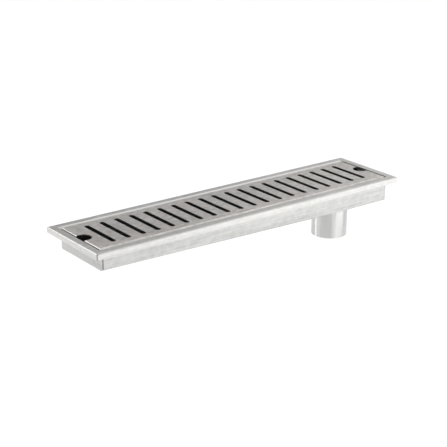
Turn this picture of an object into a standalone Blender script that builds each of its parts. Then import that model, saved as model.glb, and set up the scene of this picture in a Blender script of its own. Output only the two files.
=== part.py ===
"""A linear floor drain: a stainless channel set in the floor, with a lift-out slotted grate.

The frame has its origin on the grate's top face, at the middle of the drain. That face and the
rim's top face are both at finished floor level. X runs along the drain towards the outlet, Y runs
across it and Z points up. A strainer basket and a self-closing odour trap stand in the outlet.
"""

import math

import bmesh
import bpy
from mathutils import Matrix, Vector

MM = 0.001
GAP = 0.3 * MM  # between pieces that touch

# Rim: a folded ring, with a skirt outside and a rolled lip inside.
RIM_LENGTH = 500 * MM
RIM_WIDTH = 117 * MM
RIM_SHEET = 2.0 * MM
RIM_SKIRT = 7.5 * MM  # below the top face
RIM_OUTER_BEND = 2.0 * MM
LIP_BEND = 4.0 * MM  # of the long edges, towards the grate
LIP_INSET = 9.6 * MM  # from the rim's outer side to where that bend starts
END_LIP_INSET = 10.6 * MM  # from the rim's outer end to its inner end face
END_LIP_SHEET = 1.5 * MM

# Channel: a folded tray with welded end walls.
SHEET = 1.5 * MM
TRAY_WIDTH = RIM_WIDTH - 2 * (LIP_INSET + LIP_BEND) + 2 * SHEET
TRAY_BEND = 2.2 * MM
TRAY_DEPTH_LEFT = 28.4 * MM  # the floor falls from here to the outlet
TRAY_DEPTH_OUTLET = 35.6 * MM
FALL_END_X = 135 * MM
CHANNEL_LEFT_X = -236.5 * MM  # outer faces of the end walls
CHANNEL_RIGHT_X = 238.6 * MM
SEAM_LEFT = 0.8 * MM  # open corner seam between a long wall and the left end wall
SEAM_RIGHT = GAP  # the right end's seams are closed

# Outlet.
OUTLET_X = 176 * MM
PIPE_RADIUS = 25.4 * MM
PIPE_SHEET = 1.5 * MM
PIPE_END_Z = -85 * MM
ROUND_STEPS = 40

# Grate: a slotted plate with all its edges turned down.
GRATE_SHEET = 1.5 * MM
GRATE_WIDTH = 88.6 * MM
GRATE_BEND = 2.4 * MM
GRATE_LENGTH = 475.0 * MM
GRATE_EDGE_LENGTH = 468.8 * MM  # of the deep long edges, which fit between the end walls
GRATE_EDGE_DROP = 10 * MM
GRATE_END_DROP = LIP_BEND  # its ends rest on a ledge under the rim's lip
SLOT_COUNT = 20
SLOT_PITCH = 22 * MM
SLOT_LENGTH = 66 * MM
SLOT_WIDTH = 7.2 * MM
FINGER_RADIUS = 10.3 * MM
FINGER_X = 232.6 * MM
STIFFENER_X = [i * SLOT_PITCH for i in (-7, -3, 3, 7)]  # under the lands between slots
STIFFENER_SIZE = (3 * MM, 83.6 * MM, 7.6 * MM)

# Brackets on the long walls, and the pads that the grate's edges stand on.
BRACKET_X = (-165 * MM, 0.0, 165 * MM)
BRACKET_LENGTH = 24 * MM
BRACKET_REACH = 8.6 * MM
BRACKET_HEIGHT = 9 * MM
PAD_LENGTH = 20 * MM
PAD_WIDTH = 4 * MM
PAD_HEIGHT = 1.5 * MM

# Odour trap and strainer, on the outlet's axis.
TRAP_FLANGE_RADIUS = 28 * MM
TRAP_RADIUS = 21.5 * MM
TRAP_WALL = 2 * MM
TRAP_END_Z = -67 * MM
GASKET_RADIUS = PIPE_RADIUS - PIPE_SHEET - GAP
GASKET_TOP_Z = -41 * MM
GASKET_RIBS = 3
GASKET_RIB_PITCH = 3 * MM
BASKET_FLANGE_RADIUS = 24.5 * MM
BASKET_RADIUS = 19 * MM
BASKET_SHEET = 0.8 * MM
BASKET_DEPTH = 13 * MM
BASKET_SLOT_PAIRS = 5
BASKET_SLOT_WIDTH = 2.5 * MM
BASKET_SLOT_ABOVE_FLOOR = 3 * MM
BASKET_SLOT_BELOW_TOP = 3.5 * MM
BASKET_HOLES = 8
BASKET_HOLE_RADIUS = 2 * MM
BASKET_HOLE_CIRCLE = 12 * MM  # radius of the circle that the holes stand on
KNOB_TOP_Z = -22 * MM
GUIDE_TOP_Z = -58.5 * MM
GUIDE_HEIGHT = 3 * MM
GUIDE_HUB_RADIUS = 4.5 * MM
SPOKE_WIDTH = 2.4 * MM
STEM_RADIUS = 2 * MM
STEM_TOP_Z = -47.6 * MM
CAP_RADIUS = 5.5 * MM
CAP_HEIGHT = 1.6 * MM
SEAL_HEIGHT = 1.5 * MM
DISC_RADIUS = 21.2 * MM
DISC_HEIGHT = 1.8 * MM
SPRING_RADIUS = 3.6 * MM
SPRING_WIRE = 0.4 * MM
SPRING_TURNS = 4

# Places worked out from the sizes above.
TRAY_TOP_Z = -(LIP_BEND + GAP)
FLOOR_TOP_Z = -TRAY_DEPTH_OUTLET + SHEET
TRAP_TOP_Z = FLOOR_TOP_Z + GAP + SHEET
BASKET_TOP_Z = TRAP_TOP_Z + GAP + BASKET_SHEET
BASKET_FLOOR_Z = BASKET_TOP_Z - BASKET_DEPTH
PAD_TOP_Z = -GRATE_EDGE_DROP - GAP
BRACKET_TOP_Z = PAD_TOP_Z - PAD_HEIGHT - GAP


def material(name, colour, roughness, metallic):
    made = bpy.data.materials.new(name)
    made.use_nodes = True
    shader = made.node_tree.nodes["Principled BSDF"]
    shader.inputs["Base Color"].default_value = (*colour, 1)
    shader.inputs["Roughness"].default_value = roughness
    shader.inputs["Metallic"].default_value = metallic
    return made


def empty(name, location, parent=None):
    """A body's frame. Its pieces are its children."""
    made = bpy.data.objects.new(name, None)
    bpy.context.scene.collection.objects.link(made)
    made.parent = parent
    made.location = Vector(location) - (parent.location if parent else Vector())
    return made


def piece(name, bm, finish, parent):
    """One named object from a bmesh whose points are in the drain's frame."""
    bmesh.ops.recalc_face_normals(bm, faces=bm.faces)
    if bm.calc_volume(signed=True) < 0:
        bmesh.ops.reverse_faces(bm, faces=bm.faces)
    mesh = bpy.data.meshes.new(name)
    origin = parent.matrix_world.translation if parent else Vector()
    bm.transform(Matrix.Translation(-origin))
    bm.to_mesh(mesh)
    bm.free()
    mesh.shade_smooth()
    mesh.set_sharp_from_angle(angle=math.radians(30))
    made = bpy.data.objects.new(name, mesh)
    made.parent = parent
    bpy.context.scene.collection.objects.link(made)
    if finish:
        mesh.materials.append(finish)
    return made


def helper(name, bm, parent):
    """A shape that only cuts or joins another."""
    made = piece(name, bm, None, parent)
    made.hide_render = True
    made.display_type = "WIRE"
    return made


def boolean(target, other, operation):
    step = target.modifiers.new(other.name, "BOOLEAN")
    step.operation = operation
    step.solver = "EXACT"
    step.object = other


def box(bm, low, high):
    low, high = Vector(low), Vector(high)
    place = Matrix.Translation((low + high) / 2) @ Matrix.Diagonal((*(high - low), 1))
    bmesh.ops.create_cube(bm, size=1, matrix=place)


def arc(centre, radius, start, end, steps):
    """Points on an arc, with its angles in degrees."""
    angles = [math.radians(start + (end - start) * i / steps) for i in range(steps + 1)]
    return [(centre[0] + radius * math.cos(a), centre[1] + radius * math.sin(a)) for a in angles]


def loft(bm, rings, close=False):
    """Joins closed rings of points, with a cap on each end unless the last ring meets the first."""
    made = [[bm.verts.new(point) for point in ring] for ring in rings]
    pairs = list(zip(made, made[1:] + made[:1] if close else made[1:]))
    for ring, after in pairs:
        for i in range(len(ring)):
            j = (i + 1) % len(ring)
            bm.faces.new((ring[i], ring[j], after[j], after[i]))
    if not close:
        bm.faces.new(made[0])
        bm.faces.new(made[-1])


def turned(name, outline, finish, parent, x=OUTLET_X, steps=ROUND_STEPS):
    """A ring or a solid of revolution about the upright axis at x, from (radius, z) points."""
    bm = bmesh.new()
    ends_on_axis = outline[0][0] == 0
    verts = [bm.verts.new((x + r, 0, z)) for r, z in outline]
    edges = [bm.edges.new(pair) for pair in zip(verts, verts[1:])]
    if not ends_on_axis:
        edges.append(bm.edges.new((verts[-1], verts[0])))
    bmesh.ops.spin(
        bm, geom=verts + edges, cent=(x, 0, 0), axis=(0, 0, 1),
        angle=math.tau, steps=steps, use_merge=True,
    )
    bmesh.ops.remove_doubles(bm, verts=bm.verts, dist=0.01 * MM)
    return piece(name, bm, finish, parent)


def rim_frame(finish, parent):
    """The rim as one ring. Its long edges roll down to the channel, and its ends have a short lip."""
    steps = 6
    inner_start = (LIP_INSET, -LIP_BEND)
    outer = arc((RIM_OUTER_BEND, -RIM_OUTER_BEND), RIM_OUTER_BEND, 180, 90, 4)
    rolled = arc(inner_start, LIP_BEND, 90, 0, steps)
    back = arc(inner_start, LIP_BEND - RIM_SHEET, 0, 90, steps)
    skirt_inside = [(RIM_SHEET, -RIM_SHEET), (RIM_SHEET, -RIM_SKIRT)]
    profile = [(inset, inset, z) for inset, z in [(0, -RIM_SKIRT), *outer]]
    profile += [(END_LIP_INSET, inset, z) for inset, z in rolled]
    profile += [(END_LIP_INSET - END_LIP_SHEET, inset, z) for inset, z in back]
    profile += [(inset, inset, z) for inset, z in skirt_inside]
    corners = ((-1, -1), (1, -1), (1, 1), (-1, 1))
    rings = [
        [(sx * (RIM_LENGTH / 2 - ix), sy * (RIM_WIDTH / 2 - iy), z) for ix, iy, z in profile]
        for sx, sy in corners
    ]
    bm = bmesh.new()
    loft(bm, rings, close=True)
    return piece("rim_frame", bm, finish, parent)


def tray_section(floor_z):
    """Half of the tray's outer outline, from the middle of its floor up to its top edge."""
    side = TRAY_WIDTH / 2
    bend = arc((side - TRAY_BEND, floor_z + TRAY_BEND), TRAY_BEND, -90, 0, 4)
    return [*bend, (side, TRAY_TOP_Z)]


def tray_ring(x, floor_z):
    """The tray's whole section at x: outside, then back along the inside."""
    outside = tray_section(floor_z)
    side = TRAY_WIDTH / 2
    centre = (side - TRAY_BEND, floor_z + TRAY_BEND)
    inside = [(side - SHEET, TRAY_TOP_Z), *arc(centre, TRAY_BEND - SHEET, 0, -90, 4)]
    half = outside + inside
    return [(x, y, z) for y, z in half] + [(x, -y, z) for y, z in reversed(half)]


def channel_tray(finish, parent):
    """The folded tray: two long walls, and a floor that falls to the outlet and is level there."""
    stations = (
        (CHANNEL_LEFT_X + SHEET + SEAM_LEFT, -TRAY_DEPTH_LEFT),
        (FALL_END_X, -TRAY_DEPTH_OUTLET),
        (CHANNEL_RIGHT_X - SHEET - SEAM_RIGHT, -TRAY_DEPTH_OUTLET),
    )
    bm = bmesh.new()
    loft(bm, [tray_ring(x, z) for x, z in stations])
    tray = piece("channel_tray", bm, finish, parent)
    hole_radius = PIPE_RADIUS - PIPE_SHEET
    cut = bmesh.new()
    bmesh.ops.create_cone(
        cut, cap_ends=True, segments=ROUND_STEPS, radius1=hole_radius, radius2=hole_radius,
        depth=6 * SHEET, matrix=Matrix.Translation((OUTLET_X, 0, -TRAY_DEPTH_OUTLET)),
    )
    boolean(tray, helper("outlet_cut", cut, parent), "DIFFERENCE")
    return tray


def end_wall(name, outer, depth, finish, parent):
    """A channel end: an upright plate, and the ledge that the grate's end rests on."""
    sign = math.copysign(1, outer)
    inner = outer - sign * SHEET
    half = tray_section(-depth)
    outline = half + [(-y, z) for y, z in reversed(half)]
    bm = bmesh.new()
    loft(bm, [[(x, y, z) for y, z in outline] for x in (outer, inner)])
    wall = piece(name, bm, finish, parent)
    ledge_end = sign * (RIM_LENGTH / 2 - END_LIP_INSET + END_LIP_SHEET)
    middle = (outer + inner) / 2
    side = TRAY_WIDTH / 2
    ledge = bmesh.new()
    box(
        ledge,
        (min(ledge_end, middle), -side, TRAY_TOP_Z - SHEET),
        (max(ledge_end, middle), side, TRAY_TOP_Z),
    )
    boolean(wall, helper(name + "_ledge", ledge, parent), "UNION")
    return wall


def outlet_pipe(finish, parent):
    bore = PIPE_RADIUS - PIPE_SHEET
    chamfer = PIPE_SHEET / 3
    top = -TRAY_DEPTH_OUTLET - GAP
    outline = [
        (bore, top),
        (PIPE_RADIUS, top),
        (PIPE_RADIUS, PIPE_END_Z + chamfer),
        (PIPE_RADIUS - chamfer, PIPE_END_Z),
        (bore, PIPE_END_Z),
    ]
    return turned("outlet_pipe", outline, finish, parent)


def rest_bracket(name, x, side, finish, parent):
    """An angle on a long wall. Its level leg carries a pad."""
    wall = TRAY_WIDTH / 2 - SHEET - GAP
    outline = [
        (wall, BRACKET_TOP_Z),
        (wall - BRACKET_REACH, BRACKET_TOP_Z),
        (wall - BRACKET_REACH, BRACKET_TOP_Z - SHEET),
        (wall - 2 * SHEET, BRACKET_TOP_Z - SHEET),
        (wall - SHEET, BRACKET_TOP_Z - 2 * SHEET),
        (wall - SHEET, BRACKET_TOP_Z - BRACKET_HEIGHT),
        (wall, BRACKET_TOP_Z - BRACKET_HEIGHT),
    ]
    bm = bmesh.new()
    ends = (x - BRACKET_LENGTH / 2, x + BRACKET_LENGTH / 2)
    loft(bm, [[(end, side * y, z) for y, z in outline] for end in ends])
    return piece(name, bm, finish, parent)


def rest_pad(name, x, side, finish, parent):
    outer = GRATE_WIDTH / 2
    bm = bmesh.new()
    ys = sorted((side * outer, side * (outer - PAD_WIDTH)))
    box(
        bm,
        (x - PAD_LENGTH / 2, ys[0], PAD_TOP_Z - PAD_HEIGHT),
        (x + PAD_LENGTH / 2, ys[1], PAD_TOP_Z),
    )
    return piece(name, bm, finish, parent)


def slot_outline(x):
    """A slot across the grate, with round ends."""
    radius = SLOT_WIDTH / 2
    reach = SLOT_LENGTH / 2 - radius
    return arc((x, reach), radius, 0, 180, 8) + arc((x, -reach), radius, 180, 360, 8)


def grate_plate(finish, parent):
    """The grate: a plate with turned-down edges, cut with slots and a finger hole at each end."""
    centre = (GRATE_BEND, -GRATE_BEND)
    profile = arc(centre, GRATE_BEND - GRATE_SHEET, 90, 180, 3)
    profile += [(GRATE_SHEET, -GRATE_EDGE_DROP), (0, -GRATE_EDGE_DROP)]
    profile += arc(centre, GRATE_BEND, 180, 90, 5)
    corners = ((-1, -1), (1, -1), (1, 1), (-1, 1))
    rings = [
        [(sx * (GRATE_LENGTH / 2 - i), sy * (GRATE_WIDTH / 2 - i), z) for sx, sy in corners]
        for i, z in profile
    ]
    bm = bmesh.new()
    loft(bm, rings)
    plate = piece("grate_plate", bm, finish, parent)
    trim = bmesh.new()
    beyond = GRATE_LENGTH  # anything well past the grate
    for sign in (-1, 1):
        xs = sorted((sign * GRATE_EDGE_LENGTH / 2, sign * beyond))
        box(trim, (xs[0], -GRATE_WIDTH, -2 * GRATE_EDGE_DROP), (xs[1], GRATE_WIDTH, -GRATE_END_DROP))
    boolean(plate, helper("grate_end_trim", trim, parent), "DIFFERENCE")
    cut = bmesh.new()
    for i in range(SLOT_COUNT):
        outline = slot_outline((i - (SLOT_COUNT - 1) / 2) * SLOT_PITCH)
        loft(cut, [[(x, y, z) for x, y in outline] for z in (-2 * GRATE_SHEET, GRATE_SHEET)])
    for sign in (-1, 1):
        bmesh.ops.create_cone(
            cut, cap_ends=True, segments=32, radius1=FINGER_RADIUS, radius2=FINGER_RADIUS,
            depth=3 * GRATE_END_DROP, matrix=Matrix.Translation((sign * FINGER_X, 0, 0)),
        )
    boolean(plate, helper("grate_cuts", cut, parent), "DIFFERENCE")
    return plate


def stiffener(name, x, finish, parent):
    length, width, height = STIFFENER_SIZE
    top = -GRATE_SHEET - GAP
    bm = bmesh.new()
    box(bm, (x - length / 2, -width / 2, top - height), (x + length / 2, width / 2, top))
    return piece(name, bm, finish, parent)


def strainer_basket(finish, parent):
    """A deep-drawn cup with a flange, slots round its wall and holes in its floor."""
    inner = BASKET_RADIUS - BASKET_SHEET
    outline = [
        (0, BASKET_FLOOR_Z),
        (BASKET_RADIUS, BASKET_FLOOR_Z),
        (BASKET_RADIUS, BASKET_TOP_Z - BASKET_SHEET),
        (BASKET_FLANGE_RADIUS, BASKET_TOP_Z - BASKET_SHEET),
        (BASKET_FLANGE_RADIUS, BASKET_TOP_Z),
        (inner, BASKET_TOP_Z),
        (inner, BASKET_FLOOR_Z + BASKET_SHEET),
        (0, BASKET_FLOOR_Z + BASKET_SHEET),
    ]
    basket = turned("strainer_basket", outline, finish, parent)
    reach = BASKET_RADIUS + 2 * MM
    half = BASKET_SLOT_WIDTH / 2
    for i in range(BASKET_SLOT_PAIRS):
        bar = bmesh.new()
        box(
            bar,
            (-reach, -half, BASKET_FLOOR_Z + BASKET_SLOT_ABOVE_FLOOR),
            (reach, half, BASKET_TOP_Z - BASKET_SLOT_BELOW_TOP),
        )
        turn = Matrix.Rotation(math.pi * i / BASKET_SLOT_PAIRS, 4, "Z")
        bar.transform(Matrix.Translation((OUTLET_X, 0, 0)) @ turn)
        boolean(basket, helper(f"basket_slot_{i + 1}", bar, parent), "DIFFERENCE")
    holes = bmesh.new()
    for i in range(BASKET_HOLES):
        angle = math.tau * (i + 0.5) / BASKET_HOLES
        x = OUTLET_X + BASKET_HOLE_CIRCLE * math.cos(angle)
        y = BASKET_HOLE_CIRCLE * math.sin(angle)
        bmesh.ops.create_cone(
            holes, cap_ends=True, segments=10, radius1=BASKET_HOLE_RADIUS, radius2=BASKET_HOLE_RADIUS,
            depth=4 * BASKET_SHEET, matrix=Matrix.Translation((x, y, BASKET_FLOOR_Z)),
        )
    boolean(basket, helper("basket_holes", holes, parent), "DIFFERENCE")
    return basket


def basket_knob(finish, parent):
    foot = BASKET_FLOOR_Z + BASKET_SHEET + GAP
    neck, foot_radius, head = 1.6 * MM, 4 * MM, 5 * MM
    outline = [
        (0, foot),
        (foot_radius, foot),
        (foot_radius, foot + 1 * MM),
        (neck, foot + 2.2 * MM),
        (neck, KNOB_TOP_Z - 4.5 * MM),
        (head, KNOB_TOP_Z - 3 * MM),
        (head, KNOB_TOP_Z - 1.2 * MM),
        (head - 1.4 * MM, KNOB_TOP_Z),
        (0, KNOB_TOP_Z),
    ]
    return turned("basket_knob", outline, finish, parent, steps=20)


def trap_body(finish, parent):
    """The trap's tube, with the flange that it hangs from."""
    inner = TRAP_RADIUS - TRAP_WALL
    outline = [
        (inner, TRAP_END_Z),
        (TRAP_RADIUS, TRAP_END_Z),
        (TRAP_RADIUS, TRAP_TOP_Z - SHEET),
        (TRAP_FLANGE_RADIUS, TRAP_TOP_Z - SHEET),
        (TRAP_FLANGE_RADIUS, TRAP_TOP_Z),
        (inner, TRAP_TOP_Z),
    ]
    return turned("trap_body", outline, finish, parent)


def trap_gasket(finish, parent):
    """A sleeve round the tube, with ribs that reach the pipe."""
    inner = TRAP_RADIUS + GAP
    root = inner + 0.7 * MM
    bottom = GASKET_TOP_Z - GASKET_RIBS * GASKET_RIB_PITCH
    outline = [(inner, bottom), (root, bottom)]
    for i in range(GASKET_RIBS):
        low = bottom + i * GASKET_RIB_PITCH
        outline += [(GASKET_RADIUS, low + 1.4 * MM), (root, low + 2 * MM)]
        outline += [(root, low + GASKET_RIB_PITCH)]
    outline.append((inner, GASKET_TOP_Z))
    return turned("trap_gasket", outline, finish, parent)


def stem_guide(finish, parent):
    """A spoked ring inside the tube. Its hub guides the stem."""
    outer = TRAP_RADIUS - TRAP_WALL - GAP
    ring_wall = 1.5 * MM
    bottom = GUIDE_TOP_Z - GUIDE_HEIGHT
    ring = [(outer - ring_wall, bottom), (outer, bottom)]
    ring += [(outer, GUIDE_TOP_Z), (outer - ring_wall, GUIDE_TOP_Z)]
    guide = turned("stem_guide", ring, finish, parent)
    bore = STEM_RADIUS + GAP
    inside = 0.5 * MM  # how far the spokes stay inside the ring's faces
    spokes = bmesh.new()
    for i in range(3):
        bar = bmesh.new()
        box(
            bar,
            (bore + 0.8 * MM, -SPOKE_WIDTH / 2, bottom + inside),
            (outer - ring_wall / 2, SPOKE_WIDTH / 2, GUIDE_TOP_Z - inside),
        )
        turn = Matrix.Rotation(math.tau * i / 3, 4, "Z")
        bar.transform(Matrix.Translation((OUTLET_X, 0, 0)) @ turn)
        mesh = bpy.data.meshes.new("spoke")
        bar.to_mesh(mesh)
        bar.free()
        spokes.from_mesh(mesh)
    boolean(guide, helper("guide_spokes", spokes, parent), "UNION")
    hub = [(bore, bottom), (GUIDE_HUB_RADIUS, bottom)]
    hub += [(GUIDE_HUB_RADIUS, GUIDE_TOP_Z), (bore, GUIDE_TOP_Z)]
    hub_object = turned("guide_hub", hub, None, parent, steps=20)
    hub_object.hide_render = True
    hub_object.display_type = "WIRE"
    boolean(guide, hub_object, "UNION")
    return guide


def valve_spring(finish, parent):
    """A coil spring between the guide's hub and the stem's cap."""
    low = GUIDE_TOP_Z + GAP + SPRING_WIRE
    high = STEM_TOP_Z - CAP_HEIGHT - GAP - SPRING_WIRE
    steps = SPRING_TURNS * 14
    sides = 6
    rings = []
    for i in range(steps + 1):
        angle = math.tau * SPRING_TURNS * i / steps
        out = Vector((math.cos(angle), math.sin(angle), 0))
        centre = Vector((OUTLET_X, 0, low + (high - low) * i / steps)) + out * SPRING_RADIUS
        around = [math.tau * k / sides for k in range(sides)]
        up = Vector((0, 0, 1))
        rings.append([centre + SPRING_WIRE * (out * math.cos(a) + up * math.sin(a)) for a in around])
    bm = bmesh.new()
    loft(bm, rings)
    return piece("valve_spring", bm, finish, parent)


def valve(finishes, parent):
    """The stem with its cap, and the disc whose seal closes the tube's lower end."""
    seal_top = TRAP_END_Z - GAP
    disc_top = seal_top - SEAL_HEIGHT - GAP
    stem = [(0, disc_top + GAP), (STEM_RADIUS, disc_top + GAP)]
    stem += [(STEM_RADIUS, STEM_TOP_Z), (0, STEM_TOP_Z)]
    turned("valve_stem", stem, finishes["steel"], parent, steps=16)
    bore = STEM_RADIUS + GAP
    cap = [(bore, STEM_TOP_Z - CAP_HEIGHT), (CAP_RADIUS, STEM_TOP_Z - CAP_HEIGHT)]
    cap += [(CAP_RADIUS, STEM_TOP_Z), (bore, STEM_TOP_Z)]
    turned("stem_cap", cap, finishes["plastic"], parent, steps=20)
    seal = [(bore, seal_top - SEAL_HEIGHT), (DISC_RADIUS, seal_top - SEAL_HEIGHT)]
    seal += [(DISC_RADIUS, seal_top), (bore, seal_top)]
    turned("valve_seal", seal, finishes["rubber"], parent)
    rim = 1 * MM
    disc = [
        (0, disc_top - DISC_HEIGHT),
        (DISC_RADIUS - rim, disc_top - DISC_HEIGHT),
        (DISC_RADIUS, disc_top - DISC_HEIGHT + rim),
        (DISC_RADIUS, disc_top),
        (0, disc_top),
    ]
    turned("valve_disc", disc, finishes["plastic"], parent)


def main():
    for old in list(bpy.data.objects):
        bpy.data.objects.remove(old)
    finishes = {
        "steel": material("brushed_steel", (0.62, 0.61, 0.60), 0.32, 1.0),
        "plate": material("grained_steel", (0.56, 0.55, 0.54), 0.38, 1.0),
        "plastic": material("trap_plastic", (0.06, 0.06, 0.065), 0.45, 0.0),
        "rubber": material("rubber", (0.03, 0.03, 0.03), 0.7, 0.0),
    }
    channel = empty("channel", (0, 0, 0))
    grate = empty("grate", (0, 0, 0), channel)
    basket = empty("basket", (0, 0, 0), channel)
    trap = empty("trap", (0, 0, 0), channel)
    moving_valve = empty("valve", (0, 0, 0), trap)

    rim_frame(finishes["steel"], channel)
    channel_tray(finishes["steel"], channel)
    end_wall("end_wall_left", CHANNEL_LEFT_X, TRAY_DEPTH_LEFT, finishes["steel"], channel)
    end_wall("end_wall_right", CHANNEL_RIGHT_X, TRAY_DEPTH_OUTLET, finishes["steel"], channel)
    outlet_pipe(finishes["steel"], channel)
    for side, side_name in ((-1, "front"), (1, "back")):
        for i, x in enumerate(BRACKET_X):
            rest_bracket(f"rest_bracket_{side_name}_{i + 1}", x, side, finishes["steel"], channel)
            rest_pad(f"rest_pad_{side_name}_{i + 1}", x, side, finishes["rubber"], channel)

    grate_plate(finishes["plate"], grate)
    for i, x in enumerate(STIFFENER_X):
        stiffener(f"grate_stiffener_{i + 1}", x, finishes["steel"], grate)

    strainer_basket(finishes["steel"], basket)
    basket_knob(finishes["steel"], basket)

    trap_body(finishes["plastic"], trap)
    trap_gasket(finishes["rubber"], trap)
    stem_guide(finishes["plastic"], trap)
    valve_spring(finishes["steel"], trap)
    valve(finishes, moving_valve)


main()
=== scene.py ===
"""The finished look of the linear floor drain: its pieces in fine detail, its materials and studio."""

import math

import bmesh
import bpy
from mathutils import Matrix, Vector


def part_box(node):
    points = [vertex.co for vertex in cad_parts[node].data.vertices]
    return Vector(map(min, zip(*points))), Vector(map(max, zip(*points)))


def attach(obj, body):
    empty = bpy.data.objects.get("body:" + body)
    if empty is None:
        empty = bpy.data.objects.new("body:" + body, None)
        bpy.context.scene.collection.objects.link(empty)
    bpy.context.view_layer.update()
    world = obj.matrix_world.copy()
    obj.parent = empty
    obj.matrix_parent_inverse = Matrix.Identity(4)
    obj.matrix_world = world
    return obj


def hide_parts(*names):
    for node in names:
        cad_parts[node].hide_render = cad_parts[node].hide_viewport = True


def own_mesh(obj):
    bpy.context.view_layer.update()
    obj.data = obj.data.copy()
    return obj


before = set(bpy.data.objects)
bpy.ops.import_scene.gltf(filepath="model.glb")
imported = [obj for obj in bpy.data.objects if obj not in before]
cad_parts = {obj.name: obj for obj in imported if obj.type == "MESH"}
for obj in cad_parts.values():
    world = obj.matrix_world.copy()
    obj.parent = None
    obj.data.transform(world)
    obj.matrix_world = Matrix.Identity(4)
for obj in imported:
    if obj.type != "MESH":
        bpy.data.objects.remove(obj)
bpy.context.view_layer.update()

MM = 0.001


# Sizes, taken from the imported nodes.

def low(node):
    return Vector(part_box(node)[0])


def high(node):
    return Vector(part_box(node)[1])


RIM_X = high("rim_frame").x
RIM_Y = high("rim_frame").y
RIM_SKIRT = -low("rim_frame").z
TRAY_Y = high("channel_tray").y
TRAY_TOP = high("channel_tray").z
FLOOR_LOW = low("channel_tray").z
FLOOR_HIGH = low("end_wall_left").z
PIPE_LOW = low("outlet_pipe")
PIPE_HIGH = high("outlet_pipe")
OUTLET_X = (PIPE_LOW.x + PIPE_HIGH.x) / 2
PIPE_RADIUS = (PIPE_HIGH.x - PIPE_LOW.x) / 2
GRATE_X = high("grate_plate").x
GRATE_Y = high("grate_plate").y
GRATE_DROP = -low("grate_plate").z


# The rim. The lip insets are how far in its folded edges end, along its sides and at its two ends.

RIM_SHEET = 2 * MM
RIM_BEND = 2 * MM
LIP_BEND = 4 * MM
LIP_INSET = 9.6 * MM
END_LIP_INSET = {-1: 10.0 * MM, 1: 11.2 * MM}
MITRE_ROUND = 1.2 * MM


# The channel. The floor stops falling at FALL_END_X, and the end walls' outer faces are at WALL_X.

SHEET = 1.5 * MM
TRAY_BEND = 2.2 * MM
TRAY_MIDDLE_Z = -15 * MM
FALL_END_X = 135 * MM
WALL_X = {"left": -236.5 * MM, "right": 238.6 * MM}
BRACKET_BEND = 2 * MM
BRACKET_INNER_BEND = 1.2 * MM


# The grate. Its long skirts end at SKIRT_END_X.

PLATE = 1.5 * MM
GRATE_BEND = 2.4 * MM
SKIRT_END_X = 234.4 * MM
SLOTS = 20
PITCH = 22 * MM
SLOT_LENGTH = 66 * MM
SLOT_WIDTH = 7.2 * MM
FINGER_X = 232.6 * MM
FINGER_RADIUS = 10.3 * MM


# The basket, the trap and the valve.

BASKET_RADIUS = 19 * MM
BASKET_SHEET = 0.8 * MM
BASKET_BEND = 2 * MM
BASKET_BARS = 5
BASKET_BAR_WIDTH = 2.5 * MM
BASKET_HOLES = 8
BASKET_HOLE_RADIUS = 2 * MM
BASKET_HOLE_CIRCLE = 12 * MM
TRAP_RADIUS = 21.5 * MM
TRAP_WALL = 2 * MM
GASKET_BORE = 21.8 * MM
GASKET_ROOT = 22.5 * MM
GASKET_RIBS = 3
GASKET_PITCH = 3 * MM
STEM_BORE = 2.3 * MM
SPRING_RADIUS = 3.6 * MM
SPRING_WIRE = 0.4 * MM
SPRING_TURNS = 4


# Finish: the coarse grain's scale against the fine one, and a mesh's second and third materials, the second
# being a near-black steel that paints shade.

COARSE = 0.35
PAINTED_SHADE_INDEX = 1
MITRE_INDEX = 2
SMOOTH_ANGLE = 35  # degrees; edges flatter than this are shaded smooth
FOLD_ANGLE = 50  # degrees; on folded sheet, edges sharper than this are rounded


# The studio. A panel is its name, its place, what it faces, its size and its power.

FLOOR_Z = -0.40
FLOOR_HALF = 40
CAMERA_PLACE = (-0.9193, -1.1461, 0.5130)
CAMERA_RIGHT = (0.78840, -0.61503, 0.01242)
CAMERA_UP = (0.20515, 0.28191, 0.93725)
CAMERA_LENS = 94.4
DOME_STRENGTH = 1.21
DOME_LOBES = (
    ((0.366, 0.907, 0.208), 0.76, 0.98, 0.30),
    ((0.15, -0.35, 0.92), 0.88, 0.96, 0.25),
    ((-0.7, -0.5, 0.45), 0.30, 0.80, 1.2),
)
PANELS = (
    ("low_front_panel", (0.60, -0.75, -0.16), (0.05, 0, -0.05), (0.9, 0.42), 0.68),
    ("high_back_panel", (-0.50, 1.45, 1.35), (-0.20, 0, 0), (0.8, 0.8), 3.5),
    ("low_back_strip", (-0.17, 0.36, -0.23), (0.176, 0, -0.065), (0.05, 0.25), 0.09),
)


# Node helpers.

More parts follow.
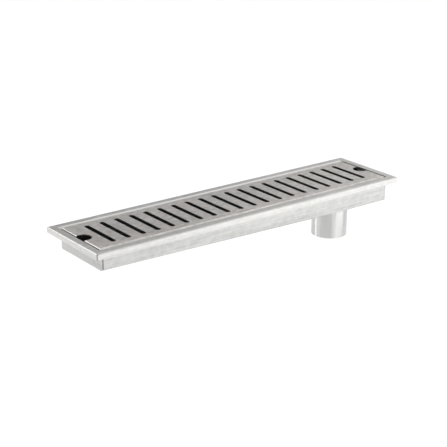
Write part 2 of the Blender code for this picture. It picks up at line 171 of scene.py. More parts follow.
class Nodes:
    """Adds shader nodes to one material and links them."""

    def __init__(self, name):
        self.material = bpy.data.materials.new(name)
        self.material.use_nodes = True
        self.tree = self.material.node_tree
        self.shader = self.tree.nodes["Principled BSDF"]
        self.place = self.add("ShaderNodeTexCoord").outputs["Object"]

    def add(self, kind, **settings):
        node = self.tree.nodes.new(kind)
        for key, value in settings.items():
            setattr(node, key, value)
        return node

    def feed(self, socket, value):
        if isinstance(value, bpy.types.NodeSocket):
            self.tree.links.new(value, socket)
        else:
            socket.default_value = value

    def math(self, operation, a, b=0.0):
        node = self.add("ShaderNodeMath", operation=operation)
        self.feed(node.inputs[0], a)
        self.feed(node.inputs[1], b)
        return node.outputs[0]

    def noise(self, scale, detail=2.0, roughness=0.5):
        stretch = self.add("ShaderNodeMapping")
        self.feed(stretch.inputs["Vector"], self.place)
        stretch.inputs["Scale"].default_value = scale
        node = self.add("ShaderNodeTexNoise")
        self.feed(node.inputs["Vector"], stretch.outputs["Vector"])
        node.inputs["Scale"].default_value = 1.0
        node.inputs["Detail"].default_value = detail
        node.inputs["Roughness"].default_value = roughness
        return node.outputs["Fac"]

    def spread(self, value, low_in, high_in, low_out, high_out):
        node = self.add("ShaderNodeMapRange")
        self.feed(node.inputs["Value"], value)
        for name, number in (
            ("From Min", low_in), ("From Max", high_in), ("To Min", low_out), ("To Max", high_out),
        ):
            self.feed(node.inputs[name], number)
        return node.outputs["Result"]

    def mix(self, factor, a, b):
        node = self.add("ShaderNodeMix", data_type="RGBA")
        self.feed(node.inputs["Factor"], factor)
        self.feed(node.inputs["A"], (*a, 1) if isinstance(a, tuple) else a)
        self.feed(node.inputs["B"], (*b, 1) if isinstance(b, tuple) else b)
        return node.outputs["Result"]

    def axis(self, name):
        node = self.add("ShaderNodeSeparateXYZ")
        self.feed(node.inputs[0], self.place)
        return node.outputs[name]

    def bump(self, height, strength, distance):
        node = self.add("ShaderNodeBump")
        node.inputs["Strength"].default_value = strength
        node.inputs["Distance"].default_value = distance
        self.feed(node.inputs["Height"], height)
        self.feed(self.shader.inputs["Normal"], node.outputs["Normal"])


def steel(name, grain, dark, light, rough=(0.26, 0.40), smudge=0.5, mottle=0.35, ends=None):
    """Brushed stainless steel.

    grain is the noise scale along each axis, and ends is the same on the rim's short ends. smudge is how
    far light clouds hide the grain, and mottle is the share of soft blotches in it.
    """
    n = Nodes(name)
    shader = n.shader.inputs
    shader["Metallic"].default_value = 1.0
    fine = n.noise(grain, 3.0, roughness=0.6)
    coarse = n.noise(tuple(v * COARSE for v in grain), 3.0)
    if ends:
        # The short ends begin past the mitre lines.
        x = n.math("ABSOLUTE", n.axis("X"))
        y = n.math("ABSOLUTE", n.axis("Y"))
        across = n.math("SUBTRACT", x, y)
        at_end = n.math("GREATER_THAN", across, RIM_X - RIM_Y)
        fine_end = n.noise(ends, 3.0, roughness=0.6)
        coarse_end = n.noise(tuple(v * COARSE for v in ends), 3.0)
        fine = n.spread(at_end, 0, 1, fine, fine_end)
        coarse = n.spread(at_end, 0, 1, coarse, coarse_end)
    brushed = n.math("ADD", n.math("MULTIPLY", fine, 0.5), n.math("MULTIPLY", coarse, 0.5))
    blotch = n.noise((110, 190, 150), 3.0, roughness=0.6)
    streak = n.math(
        "ADD", n.math("MULTIPLY", brushed, 1 - mottle), n.math("MULTIPLY", blotch, mottle),
    )
    cloud = n.noise((9, 14, 14), 3.0)
    tone = n.spread(streak, 0.40, 0.60, 0, 1)
    colour = n.mix(n.spread(cloud, 0.35, 0.65, 0.0, smudge), n.mix(tone, dark, light), light)
    n.feed(shader["Base Color"], colour)
    rough_streak = n.spread(streak, 0.35, 0.65, *rough)
    n.feed(shader["Roughness"], n.math("ADD", rough_streak, n.spread(cloud, 0.3, 0.7, -0.02, 0.03)))
    n.bump(fine, 0.12, 0.05 * MM)
    return n.material


def tube_steel(name):
    """The outlet tube: drawn lengthwise, so its streaks run up and down, with a few broad polished ones."""
    n = Nodes(name)
    shader = n.shader.inputs
    shader["Metallic"].default_value = 1.0
    fine = n.noise((1100, 1100, 14), 3.0)
    broad = n.noise((60, 60, 2), 1.0)
    streak = n.math("ADD", n.math("MULTIPLY", fine, 0.4), n.math("MULTIPLY", broad, 0.6))
    tone = n.spread(streak, 0.40, 0.60, 0, 1)
    n.feed(shader["Base Color"], n.mix(tone, (0.47, 0.47, 0.465), (0.70, 0.70, 0.69)))
    n.feed(shader["Roughness"], n.spread(streak, 0.35, 0.65, 0.20, 0.30))
    n.bump(fine, 0.1, 0.04 * MM)
    return n.material


def weld_steel(name, dark, light):
    """A ground weld bead: rippled, with a faint straw tint."""
    n = Nodes(name)
    shader = n.shader.inputs
    shader["Metallic"].default_value = 1.0
    ripple = n.noise((700, 700, 700), 2.0)
    tint = n.noise((60, 60, 60), 2.0)
    n.feed(shader["Base Color"], n.mix(n.spread(tint, 0.4, 0.6, 0, 1), dark, light))
    n.feed(shader["Roughness"], n.spread(ripple, 0.3, 0.7, 0.3, 0.5))
    n.bump(ripple, 0.4, 0.1 * MM)
    return n.material


def moulded(name, dark, light, rough):
    """Moulded plastic with a fine spark-eroded texture."""
    n = Nodes(name)
    shader = n.shader.inputs
    grain = n.noise((1900, 1900, 1900), 3.0)
    cloud = n.noise((40, 40, 40), 2.0)
    n.feed(shader["Base Color"], n.mix(n.spread(cloud, 0.35, 0.65, 0, 1), dark, light))
    n.feed(shader["Roughness"], n.spread(grain, 0.3, 0.7, rough - 0.06, rough + 0.08))
    n.bump(grain, 0.18, 0.06 * MM)
    return n.material


# Mesh helpers.

def finish_mesh(name, bm, material, body, node, bevel=0.0, bevel_angle=40, smooth=SMOOTH_ANGLE):
    """Makes a piece that rides on a CAD body and stands in for a CAD node, where one is given."""
    bmesh.ops.recalc_face_normals(bm, faces=bm.faces)
    mesh = bpy.data.meshes.new(name)
    bm.to_mesh(mesh)
    bm.free()
    mesh.materials.append(material)
    mesh.shade_smooth()
    mesh.set_sharp_from_angle(angle=math.radians(smooth))
    made = bpy.data.objects.new(name, mesh)
    bpy.context.scene.collection.objects.link(made)
    if bevel:
        step = made.modifiers.new("rounded edges", "BEVEL")
        step.width = bevel
        step.segments = 3
        step.limit_method = "ANGLE"
        step.angle_limit = math.radians(bevel_angle)
        step.harden_normals = True
        step.use_clamp_overlap = True
    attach(made, body)
    if node:
        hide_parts(node)
    return made


def cut_out(made, cutters):
    """Cuts solids from a piece and leaves the result as its mesh."""
    bevels = list(made.modifiers)
    for step in bevels:
        step.show_viewport = False
    for i, bm in enumerate(cutters):
        bmesh.ops.recalc_face_normals(bm, faces=bm.faces)
        mesh = bpy.data.meshes.new(f"cutter_{i}")
        bm.to_mesh(mesh)
        bm.free()
        tool = bpy.data.objects.new(f"cutter_{i}", mesh)
        bpy.context.scene.collection.objects.link(tool)
        step = made.modifiers.new(f"cut_{i}", "BOOLEAN")
        step.operation = "DIFFERENCE"
        step.solver = "EXACT"
        step.object = tool
    graph = bpy.context.evaluated_depsgraph_get()
    result = bpy.data.meshes.new_from_object(made.evaluated_get(graph))
    old = made.data
    for step in [m for m in made.modifiers if m.type == "BOOLEAN"]:
        tool = step.object
        made.modifiers.remove(step)
        bpy.data.objects.remove(tool)
    made.data = result
    bpy.data.meshes.remove(old)
    result.shade_smooth()
    result.set_sharp_from_angle(angle=math.radians(SMOOTH_ANGLE))
    for step in bevels:
        step.show_viewport = True


def paint_shade_inside(made, gets_painted_shade):
    """Gives the faces that the test picks a near-black steel: painted shade where the drain's inside lies in
    shadow.
    """
    made.data.materials.append(STEEL_PAINTED_SHADE)
    for face in made.data.polygons:
        if gets_painted_shade(face.center, face.normal):
            face.material_index = PAINTED_SHADE_INDEX


def end_smoothing(made, index):
    """Marks the outline of one material's faces as sharp, so that the flat faces beside them stay flat."""
    bm = bmesh.new()
    bm.from_mesh(made.data)
    for edge in bm.edges:
        if len({face.material_index == index for face in edge.link_faces}) == 2:
            edge.smooth = False
    bm.to_mesh(made.data)
    bm.free()


def arc(centre, radius, start, end, steps):
    angles = [math.radians(start + (end - start) * i / steps) for i in range(steps + 1)]
    return [(centre[0] + radius * math.cos(a), centre[1] + radius * math.sin(a)) for a in angles]


def loft(bm, rings, close=False):
    made = [[bm.verts.new(point) for point in ring] for ring in rings]
    for ring, after in zip(made, made[1:] + made[:1] if close else made[1:]):
        for i in range(len(ring)):
            j = (i + 1) % len(ring)
            bm.faces.new((ring[i], ring[j], after[j], after[i]))
    if not close:
        bm.faces.new(made[0])
        bm.faces.new(made[-1])


def box(bm, lowest, highest):
    lowest, highest = Vector(lowest), Vector(highest)
    place = Matrix.Translation((lowest + highest) / 2) @ Matrix.Diagonal((*(highest - lowest), 1))
    bmesh.ops.create_cube(bm, size=1, matrix=place)


def turned(name, outline, material, body, node, steps=96, smooth=SMOOTH_ANGLE):
    """A piece turned about the outlet's upright axis, from (radius, z) points."""
    bm = bmesh.new()
    verts = [bm.verts.new((OUTLET_X + r, 0, z)) for r, z in outline]
    edges = [bm.edges.new(pair) for pair in zip(verts, verts[1:])]
    if outline[0][0] > 0:
        edges.append(bm.edges.new((verts[-1], verts[0])))
    bmesh.ops.spin(
        bm, geom=verts + edges, cent=(OUTLET_X, 0, 0), axis=(0, 0, 1), angle=math.tau, steps=steps,
        use_merge=True,
    )
    bmesh.ops.remove_doubles(bm, verts=bm.verts, dist=0.002 * MM)
    return finish_mesh(name, bm, material, body, node, smooth=smooth)


def bead(name, points, radius, material, body, close=False):
    """A weld bead laid along points, with a ripple in its thickness."""
    sides = 8
    ripple, ripple_turn = 0.14, 1.9
    bm = bmesh.new()
    rings = []
    count = len(points)
    for i, point in enumerate(points):
        after = points[(i + 1) % count] if close else points[min(i + 1, count - 1)]
        before = points[i - 1] if close else points[max(i - 1, 0)]
        along = (Vector(after) - Vector(before)).normalized()
        side = along.cross(Vector((0, 0, 1)))
        if side.length < 0.1:
            side = along.cross(Vector((0, 1, 0)))
        side.normalize()
        up = side.cross(along)
        size = radius * (1 + ripple * math.sin(i * ripple_turn))
        around = [math.tau * k / sides for k in range(sides)]
        rings.append([Vector(point) + size * (side * math.cos(a) + up * math.sin(a)) for a in around])
    loft(bm, rings, close=close)
    return finish_mesh(name, bm, material, body, None, smooth=60)


# Materials.

STEEL_RIM = steel(
    "steel_rim", (38, 1500, 1500), (0.52, 0.515, 0.503), (0.69, 0.685, 0.668), ends=(1500, 38, 1500),
)
STEEL_WALL = steel(
    "steel_wall", (30, 900, 1300), (0.43, 0.43, 0.42), (0.61, 0.61, 0.597), rough=(0.28, 0.42),
)
STEEL_END = steel(
    "steel_end_wall", (900, 40, 500), (0.40, 0.40, 0.393), (0.56, 0.56, 0.55), rough=(0.28, 0.44),
)
STEEL_GRATE = steel(
    "steel_grate", (90, 1400, 1400), (0.45, 0.430, 0.415), (0.69, 0.660, 0.638), rough=(0.30, 0.42),
    smudge=0.3, mottle=0.5,
)
STEEL_TUBE = tube_steel("steel_tube")
# Near-black steel: painted shade for the faces inside the drain, under the rim's lip and in the slots, where
# shadow falls.
STEEL_PAINTED_SHADE = steel(
    "steel_painted_shade", (60, 500, 500), (0.10, 0.10, 0.10), (0.16, 0.16, 0.16), rough=(0.42, 0.55),
)
STEEL_SMALL = steel(
    "steel_small", (500, 500, 500), (0.42, 0.42, 0.42), (0.54, 0.54, 0.54), rough=(0.25, 0.38),
)
WELD = weld_steel("weld_bead", (0.46, 0.45, 0.44), (0.56, 0.53, 0.48))
WELD_DARK = weld_steel("weld_bead_dark", (0.05, 0.05, 0.05), (0.09, 0.085, 0.08))
WELD_MITRE = weld_steel("weld_mitre", (0.25, 0.25, 0.245), (0.33, 0.325, 0.315))
PLASTIC = moulded("trap_plastic", (0.030, 0.031, 0.033), (0.042, 0.043, 0.045), 0.42)
RUBBER = moulded("black_rubber", (0.016, 0.016, 0.017), (0.03, 0.03, 0.03), 0.62)

BRUSHED = (STEEL_RIM, STEEL_WALL, STEEL_END, STEEL_TUBE, STEEL_PAINTED_SHADE, STEEL_SMALL, WELD, WELD_DARK)
SLOT_OF = {made.name: "brushed_steel" for made in BRUSHED}
SLOT_OF.update({STEEL_GRATE.name: "grained_steel", PLASTIC.name: "trap_plastic", RUBBER.name: "rubber"})


def make_rim():
    """The folded rim. Its long edges roll down to the channel and its ends fold down sharply."""
    outer = arc((RIM_BEND, -RIM_BEND), RIM_BEND, 180, 90, 10)
    rolled = arc((LIP_INSET, -LIP_BEND), LIP_BEND, 90, 0, 12)
    back = arc((LIP_INSET, -LIP_BEND), LIP_BEND - RIM_SHEET, 0, 90, 12)
    skirt_back = [(RIM_SHEET, -RIM_SHEET), (RIM_SHEET, -RIM_SKIRT)]

    def corner(sx, sy):
        fold = END_LIP_INSET[sx]
        profile = [(inset, inset, z) for inset, z in [(0.0, -RIM_SKIRT), *outer]]
        profile += [(fold, inset, z) for inset, z in rolled]
        profile += [(fold - SHEET, inset, z) for inset, z in back]
        profile += [(inset, inset, z) for inset, z in skirt_back]
        return [(sx * (RIM_X - ix), sy * (RIM_Y - iy), z) for ix, iy, z in profile]

    def on_left_mitre(vert):
        inset = RIM_X + vert.co.x
        return inset < MITRE_ROUND and abs(RIM_Y - abs(vert.co.y) - inset) < 0.01 * MM

    bm = bmesh.new()
    loft(bm, [corner(sx, sy) for sx, sy in ((-1, -1), (1, -1), (1, 1), (-1, 1))], close=True)
    one_side = [e for e in bm.edges if e.verts[0].co.y * e.verts[1].co.y > 0]
    mitres = [e for e in one_side if all(on_left_mitre(v) for v in e.verts)]
    bmesh.ops.bevel(
        bm, geom=mitres, offset=MITRE_ROUND, segments=4, profile=0.5, affect="EDGES", material=MITRE_INDEX,
    )
    rim = finish_mesh(
        "rim", bm, STEEL_RIM, "channel", "rim_frame", bevel=0.35 * MM, bevel_angle=FOLD_ANGLE, smooth=32,
    )
    # The rim's inward faces below the lip get the near-black steel: painted shade under the fold.
    below_lip = -2.5 * MM
    paint_shade_inside(rim, lambda centre, normal: centre.z < below_lip and normal.dot(centre) < 0)
    rim.data.materials.append(WELD_MITRE)
    end_smoothing(rim, MITRE_INDEX)


def tray_half(floor_z, side):
    """The outline of the channel's outside on one side, from the floor's edge to the top."""
    return [*arc((side - TRAY_BEND, floor_z + TRAY_BEND), TRAY_BEND, -90, 0, 10), (side, TRAY_TOP)]


def make_tray():
    """The folded tray with its hole, and the weld round the outlet tube."""

    def ring(x, z):
        centre = (TRAY_Y - TRAY_BEND, z + TRAY_BEND)
        inside = [(TRAY_Y - SHEET, TRAY_TOP), *arc(centre, TRAY_BEND - SHEET, 0, -90, 8)]
        half = tray_half(z, TRAY_Y) + inside
        return [(x, y, h) for y, h in half] + [(x, -y, h) for y, h in reversed(half)]

    bm = bmesh.new()
    left, right = low("channel_tray").x, high("channel_tray").x
    stations = ((left, FLOOR_HIGH), (FALL_END_X, FLOOR_LOW), (right, FLOOR_LOW))
    loft(bm, [ring(x, z) for x, z in stations])
    tray = finish_mesh(
        "tray", bm, STEEL_WALL, "channel", "channel_tray", bevel=0.15 * MM, bevel_angle=FOLD_ANGLE,
    )
    hole = bmesh.new()
    bmesh.ops.create_cone(
        hole, cap_ends=True, segments=96, radius1=PIPE_RADIUS - SHEET, radius2=PIPE_RADIUS - SHEET,
        depth=9 * MM, matrix=Matrix.Translation((OUTLET_X, 0, FLOOR_LOW)),
    )
    cut_out(tray, [hole])
    # The channel's inner faces get the near-black steel: painted shade inside the trough.
    paint_shade_inside(tray, lambda centre, normal: normal.y * centre.y + normal.z * (centre.z - TRAY_MIDDLE_Z) < 0)
    steps = 120
    radius = PIPE_RADIUS + 0.5 * MM
    weld_z = FLOOR_LOW - 0.3 * MM
    around = [math.tau * i / steps for i in range(steps)]
    points = [(OUTLET_X + radius * math.cos(a), radius * math.sin(a), weld_z) for a in around]
    bead("outlet_weld", points, 1.1 * MM, WELD, "channel", close=True)


def make_end_walls():
    """Each end wall, the ledge at its top and the welds in its corners, which are dark at the left end."""
    for sign, name, radius, metal in ((-1, "left", 0.9 * MM, WELD_DARK), (1, "right", 0.55 * MM, WELD)):
        node = f"end_wall_{name}"
        depth = low(node).z
        outer = WALL_X[name]
        half = tray_half(depth, TRAY_Y)
        bm = bmesh.new()
        outline = half + [(-y, z) for y, z in reversed(half)]
        loft(bm, [[(x, y, z) for y, z in outline] for x in (outer, outer - sign * SHEET)])
        wall = finish_mesh(
            node + "_plate", bm, STEEL_END, "channel", node, bevel=0.2 * MM, bevel_angle=FOLD_ANGLE,
        )
        # The walls' inward faces get the near-black steel: painted shade inside the channel's ends.
        paint_shade_inside(wall, lambda centre, normal, sign=sign: normal.x * sign < -0.5)
        overlap = 0.2 * MM
        reach = high(node).x if sign > 0 else low(node).x
        ledge = bmesh.new()
        near, far = sorted((reach, outer - sign * overlap))
        box(ledge, (near, -TRAY_Y, TRAY_TOP - SHEET), (far, TRAY_Y, TRAY_TOP))
        # The ledge is near-black steel: painted shade under the rim.
        finish_mesh(node + "_ledge", ledge, STEEL_PAINTED_SHADE, "channel", None, bevel=0.2 * MM)
        tray_end = low("channel_tray").x if sign < 0 else high("channel_tray").x
        steps, inset = 26, 0.6 * MM
        bottom = depth + 2.5 * MM
        rise = (TRAY_TOP - SHEET - bottom) / steps
        x = (tray_end + outer - sign * SHEET) / 2
        for side, side_name in ((-1, "front"), (1, "back")):
            points = [(x, side * (TRAY_Y - inset), bottom + rise * i) for i in range(steps + 1)]
            bead(f"corner_weld_{name}_{side_name}", points, radius, metal, "channel")


def make_pipe():
    """The outlet tube, with its lower edge broken inside and out."""
    bore = PIPE_RADIUS - SHEET
    bottom = PIPE_LOW.z
    outline = [(bore, PIPE_HIGH.z), (PIPE_RADIUS, PIPE_HIGH.z)]
    outline += arc((PIPE_RADIUS - 0.5 * MM, bottom + 0.5 * MM), 0.5 * MM, 0, -90, 5)
    outline += arc((bore + 0.3 * MM, bottom + 0.3 * MM), 0.3 * MM, -90, -180, 4)
    turned("outlet_tube", outline, STEEL_TUBE, "channel", "outlet_pipe", steps=144)


def make_rests():
    """The six brackets on the long walls, each with its rubber pad."""
    for side, side_name in ((-1, "front"), (1, "back")):
        for i in (1, 2, 3):
            node = f"rest_bracket_{side_name}_{i}"
            a, b = low(node), high(node)
            wall = max(abs(a.y), abs(b.y))
            tip = min(abs(a.y), abs(b.y))
            inset = SHEET + BRACKET_INNER_BEND
            inside = arc((wall - inset, b.z - inset), BRACKET_INNER_BEND, 90, 0, 6)
            outside = arc((wall - BRACKET_BEND, b.z - BRACKET_BEND), BRACKET_BEND, 0, 90, 6)
            outline = [(wall, a.z), *outside, (tip, b.z), (tip, b.z - SHEET), *inside, (wall - SHEET, a.z)]
            bm = bmesh.new()
            loft(bm, [[(x, side * y, z) for y, z in outline] for x in (a.x, b.x)])
            name = f"bracket_{side_name}_{i}"
            finish_mesh(name, bm, STEEL_SMALL, "channel", node, bevel=0.2 * MM, bevel_angle=FOLD_ANGLE)
            pad_node = f"rest_pad_{side_name}_{i}"
            pad = bmesh.new()
            box(pad, low(pad_node), high(pad_node))
            finish_mesh(f"pad_{side_name}_{i}", pad, RUBBER, "channel", pad_node, bevel=0.5 * MM)


def make_grate():
    """The slotted plate, its stiffeners, and the welds that hold them."""
    centre = (GRATE_BEND, -GRATE_BEND)
    profile = arc(centre, GRATE_BEND - PLATE, 90, 180, 6)
    profile += [(PLATE, -GRATE_DROP), (0, -GRATE_DROP), *arc(centre, GRATE_BEND, 180, 90, 12)]
    rings = [
        [(sx * (GRATE_X - i), sy * (GRATE_Y - i), z) for sx, sy in ((-1, -1), (1, -1), (1, 1), (-1, 1))]
        for i, z in profile
    ]
    bm = bmesh.new()
    loft(bm, rings)
    plate = finish_mesh(
        "grate", bm, STEEL_GRATE, "grate", "grate_plate", bevel=0.2 * MM, bevel_angle=FOLD_ANGLE,
    )
    cut_out(plate, [skirt_ends(), slots_and_finger_holes()])

    # Slot walls, the plate's underside and its end faces in the gaps get the near-black steel: painted shade
    # in the slots and gaps.
    def gets_painted_shade(centre, normal):
        outward = normal.x * centre.x / GRATE_X + normal.y * centre.y / GRATE_Y
        edge = abs(centre.x) > GRATE_X - MM or abs(centre.y) > GRATE_Y - MM
        in_end_gap = abs(normal.x) > 0.3 and centre.z < -0.9 * MM
        return in_end_gap or (normal.z < 0.1 and not (edge and outward > 0.5))

    paint_shade_inside(plate, gets_painted_shade)
    weld_starts, weld_length, weld_radius = (-38, -12, 14), 24, 0.8 * MM
    for i in (1, 2, 3, 4):
        node = f"grate_stiffener_{i}"
        bar = bmesh.new()
        box(bar, low(node), high(node))
        finish_mesh(f"stiffener_{i}", bar, STEEL_SMALL, "grate", node, bevel=0.3 * MM)
        x = (low(node).x + high(node).x) / 2 + 1.6 * MM
        z = -PLATE - weld_radius / 2
        for k, start in enumerate(weld_starts):
            points = [(x, (start + j) * MM, z) for j in range(weld_length + 1)]
            bead(f"stiffener_weld_{i}_{k + 1}", points, weld_radius, WELD, "grate")


def skirt_ends():
    """Cuts away the plate's turned-down edge at both ends, below the rim's fold."""
    beyond_x, beyond_y, beneath = 300 * MM, 90 * MM, -30 * MM
    trim = bmesh.new()
    for sign in (-1, 1):
        near, far = sorted((sign * SKIRT_END_X, sign * beyond_x))
        box(trim, (near, -beyond_y, beneath), (far, beyond_y, -LIP_BEND))
    return trim


def slots_and_finger_holes():
    """Cuts the row of slots, and a hole at each end that the plate's end runs through."""
    radius = SLOT_WIDTH / 2
    reach = SLOT_LENGTH / 2 - radius
    cut_from, cut_to = -3 * MM, 2 * MM
    holes = bmesh.new()
    for i in range(SLOTS):
        x = (i - (SLOTS - 1) / 2) * PITCH
        edge = arc((x, reach), radius, 0, 180, 16) + arc((x, -reach), radius, 180, 360, 16)
        loft(holes, [[(px, py, z) for px, py in edge] for z in (cut_from, cut_to)])
    for sign in (-1, 1):
        bmesh.ops.create_cone(
            holes, cap_ends=True, segments=72, radius1=FINGER_RADIUS, radius2=FINGER_RADIUS,
            depth=12 * MM, matrix=Matrix.Translation((sign * FINGER_X, 0, 0)),
        )
    return holes


def make_basket():
    """The strainer: a flanged cup with slots across it and holes in its floor, and its lifting knob."""
    a, b = low("strainer_basket"), high("strainer_basket")
    top, floor = b.z, a.z
    bend, lip_bend, edge = BASKET_BEND, 1 * MM, BASKET_SHEET / 2
    flange = (b.x - a.x) / 2
    lip = (BASKET_RADIUS + lip_bend, top - BASKET_SHEET - lip_bend)
    corner = (BASKET_RADIUS - bend, floor + bend)
    outline = [(0, floor), *arc(corner, bend, -90, 0, 8)]
    outline += arc(lip, lip_bend, 180, 90, 6)
    outline += arc((flange - edge, top - edge), edge, -90, 90, 6)
    outline += arc(lip, lip_bend + BASKET_SHEET, 90, 180, 8)
    outline += [*arc(corner, bend - BASKET_SHEET, 0, -90, 8), (0, floor + BASKET_SHEET)]
    basket = turned("basket", outline, STEEL_SMALL, "basket", "strainer_basket")
    reach, half = BASKET_RADIUS + 2 * MM, BASKET_BAR_WIDTH / 2
    cutters = []
    for i in range(BASKET_BARS):
        bar = bmesh.new()
        box(bar, (-reach, -half, floor + 3 * MM), (reach, half, top - 3.5 * MM))
        turn = Matrix.Rotation(math.pi * i / BASKET_BARS, 4, "Z")
        bar.transform(Matrix.Translation((OUTLET_X, 0, 0)) @ turn)
        cutters.append(bar)
    holes = bmesh.new()
    for i in range(BASKET_HOLES):
        angle = math.tau * (i + 0.5) / BASKET_HOLES
        x, y = BASKET_HOLE_CIRCLE * math.cos(angle), BASKET_HOLE_CIRCLE * math.sin(angle)
        bmesh.ops.create_cone(
            holes, cap_ends=True, segments=24, radius1=BASKET_HOLE_RADIUS, radius2=BASKET_HOLE_RADIUS,
            depth=4 * BASKET_SHEET, matrix=Matrix.Translation((OUTLET_X + x, y, floor)),
        )
    cutters.append(holes)
    cut_out(basket, cutters)
    foot, tip = low("basket_knob").z, high("basket_knob").z
    knob = [(0, foot), (3.8 * MM, foot), (4 * MM, foot + 0.3 * MM), (3.9 * MM, foot + 1 * MM)]
    knob += [(2.4 * MM, foot + 1.5 * MM), (1.6 * MM, foot + 3 * MM), (1.6 * MM, tip - 5 * MM)]
    knob += [(2.2 * MM, tip - 4.2 * MM), (4.4 * MM, tip - 3.2 * MM), (5 * MM, tip - 2.6 * MM)]
    knob += [(5 * MM, tip - 1.2 * MM), (4.4 * MM, tip - 0.4 * MM), (3 * MM, tip), (0, tip)]
    turned("knob", knob, STEEL_SMALL, "basket", "basket_knob", steps=64, smooth=60)


def make_trap():
    """The trap's flanged tube and the ribbed gasket round it."""
    a, b = low("trap_body"), high("trap_body")
    flange = (b.x - a.x) / 2
    bore = TRAP_RADIUS - TRAP_WALL
    chamfer, fillet, mouth = 0.4 * MM, 0.8 * MM, 0.5 * MM
    outline = [(bore, a.z), (TRAP_RADIUS - chamfer, a.z), (TRAP_RADIUS, a.z + chamfer)]
    outline += [(TRAP_RADIUS, b.z - SHEET - fillet), (TRAP_RADIUS + fillet, b.z - SHEET)]
    outline += arc((flange - SHEET / 2, b.z - SHEET / 2), SHEET / 2, -90, 90, 8)
    outline += [(bore + mouth, b.z), (bore, b.z - mouth)]
    turned("trap_tube", outline, PLASTIC, "trap", "trap_body")
    a, b = low("trap_gasket"), high("trap_gasket")
    tip, tip_radius = (b.x - a.x) / 2, 0.3 * MM
    outline = [(GASKET_BORE, a.z), (GASKET_ROOT, a.z)]
    for i in range(GASKET_RIBS):
        z = a.z + i * GASKET_PITCH
        outline += arc((tip - tip_radius, z + 1.4 * MM), tip_radius, -80, 80, 5)
        outline += [(GASKET_ROOT, z + 2 * MM), (GASKET_ROOT, z + GASKET_PITCH)]
    outline.append((GASKET_BORE, b.z))
    turned("gasket", outline, RUBBER, "trap", "trap_gasket")


def keep_cad(names, material):
    """Gives CAD pieces that are seen as they are a finished material."""
    for name in names:
        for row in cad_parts[name].material_slots:
            row.material = material


def make_valve():
    """The guide, the valve's turned pieces with rounded edges, and the spring, which shortens as it opens."""
    keep_cad(["stem_guide"], PLASTIC)
    for node, material, bore, r in (
        ("valve_stem", STEEL_SMALL, 0, 0.2 * MM), ("stem_cap", PLASTIC, STEM_BORE, 0.4 * MM),
        ("valve_seal", RUBBER, STEM_BORE, 0.35 * MM), ("valve_disc", PLASTIC, 0, 0.6 * MM),
    ):
        a, b = low(node), high(node)
        radius = (b.x - a.x) / 2
        edge = arc((radius - r, a.z + r), r, -90, 0, 6) + arc((radius - r, b.z - r), r, 0, 90, 6)
        turned(node + "_fine", [(bore, a.z), *edge, (bore, b.z)], material, "valve", node, steps=72)
    a, b = low("valve_spring"), high("valve_spring")
    steps, sides = 160, 12
    around = [math.tau * k / sides for k in range(sides)]
    climb = b.z - a.z - 2 * SPRING_WIRE
    rings = []
    for i in range(steps + 1):
        angle = math.tau * SPRING_TURNS * i / steps
        out = Vector((math.cos(angle), math.sin(angle), 0))
        centre = Vector((OUTLET_X, 0, a.z + SPRING_WIRE + climb * i / steps)) + out * SPRING_RADIUS
        section = [out * math.cos(t) + Vector((0, 0, math.sin(t))) for t in around]
        rings.append([centre + SPRING_WIRE * offset for offset in section])
    bm = bmesh.new()
    loft(bm, rings)
    spring = finish_mesh("spring", bm, STEEL_SMALL, "trap", "valve_spring")
    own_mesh(spring)


# Studio.

def make_floor():
    n = Nodes("studio_floor")
    cloud = n.noise((0.8, 0.8, 0.8), 2.0)
    n.feed(n.shader.inputs["Base Color"], n.mix(cloud, (0.93, 0.93, 0.93), (0.95, 0.95, 0.95)))
    n.shader.inputs["Roughness"].default_value = 0.9
    bm = bmesh.new()
    bmesh.ops.create_grid(bm, x_segments=1, y_segments=1, size=FLOOR_HALF)
    bm.transform(Matrix.Translation((0, 0, FLOOR_Z)))
    mesh = bpy.data.meshes.new("studio_floor")
    bm.to_mesh(mesh)
    bm.free()
    mesh.materials.append(n.material)
    floor = bpy.data.objects.new("studio_floor", mesh)
    bpy.context.scene.collection.objects.link(floor)


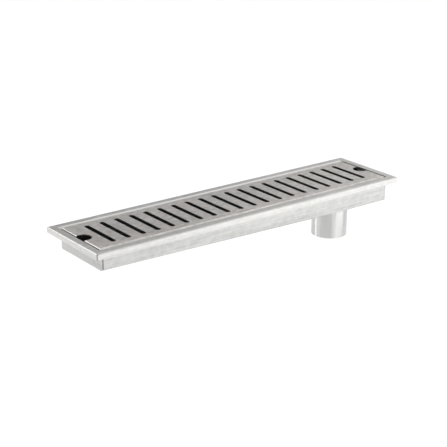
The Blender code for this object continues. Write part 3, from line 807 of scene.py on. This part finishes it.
def panel(name, place, aim, size, power):
    """A soft panel at place that faces aim."""
    data = bpy.data.lights.new(name, "AREA")
    data.shape = "RECTANGLE"
    data.size, data.size_y = size
    data.energy = power
    lamp = bpy.data.objects.new(name, data)
    lamp.location = place
    lamp.rotation_euler = (Vector(aim) - Vector(place)).to_track_quat("-Z", "Y").to_euler()
    bpy.context.scene.collection.objects.link(lamp)


def make_world(bright, lobes):
    """A soft dome.

    Each lobe is its direction, the cosines at its edge and core, and its strength at the core.
    """
    world = bpy.data.worlds.new("studio")
    bpy.context.scene.world = world
    world.use_nodes = True
    tree = world.node_tree
    tree.nodes["Background"].inputs["Color"].default_value = (1, 1, 1, 1)
    place = tree.nodes.new("ShaderNodeTexCoord")
    total = bright
    for direction, edge, core, strength in lobes:
        towards = tree.nodes.new("ShaderNodeVectorMath")
        towards.operation = "DOT_PRODUCT"
        towards.inputs[1].default_value = Vector(direction).normalized()
        level = tree.nodes.new("ShaderNodeMapRange")
        for name, number in (("From Min", edge), ("From Max", core), ("To Min", 1.0), ("To Max", strength)):
            level.inputs[name].default_value = number
        product = tree.nodes.new("ShaderNodeMath")
        product.operation = "MULTIPLY"
        tree.links.new(place.outputs["Generated"], towards.inputs[0])
        tree.links.new(towards.outputs["Value"], level.inputs["Value"])
        tree.links.new(level.outputs["Result"], product.inputs[0])
        if isinstance(total, bpy.types.NodeSocket):
            tree.links.new(total, product.inputs[1])
        else:
            product.inputs[1].default_value = total
        total = product.outputs[0]
    tree.links.new(total, tree.nodes["Background"].inputs["Strength"])


def make_camera():
    data = bpy.data.cameras.new("camera")
    data.sensor_width = 36
    data.lens = CAMERA_LENS
    data.clip_start = 0.01
    camera = bpy.data.objects.new("camera", data)
    right, up = Vector(CAMERA_RIGHT).normalized(), Vector(CAMERA_UP)
    back = right.cross(up).normalized()
    up = back.cross(right)
    turn = Matrix((right, up, back)).transposed().to_4x4()
    camera.matrix_world = Matrix.Translation(CAMERA_PLACE) @ turn
    bpy.context.scene.collection.objects.link(camera)
    bpy.context.scene.camera = camera


make_camera()
make_rim()
make_tray()
make_end_walls()
make_pipe()
make_rests()
make_grate()
make_basket()
make_trap()
make_valve()
make_floor()
make_world(DOME_STRENGTH, DOME_LOBES)
for settings in PANELS:
    panel(*settings)
bpy.context.scene.view_settings.view_transform = "Standard"
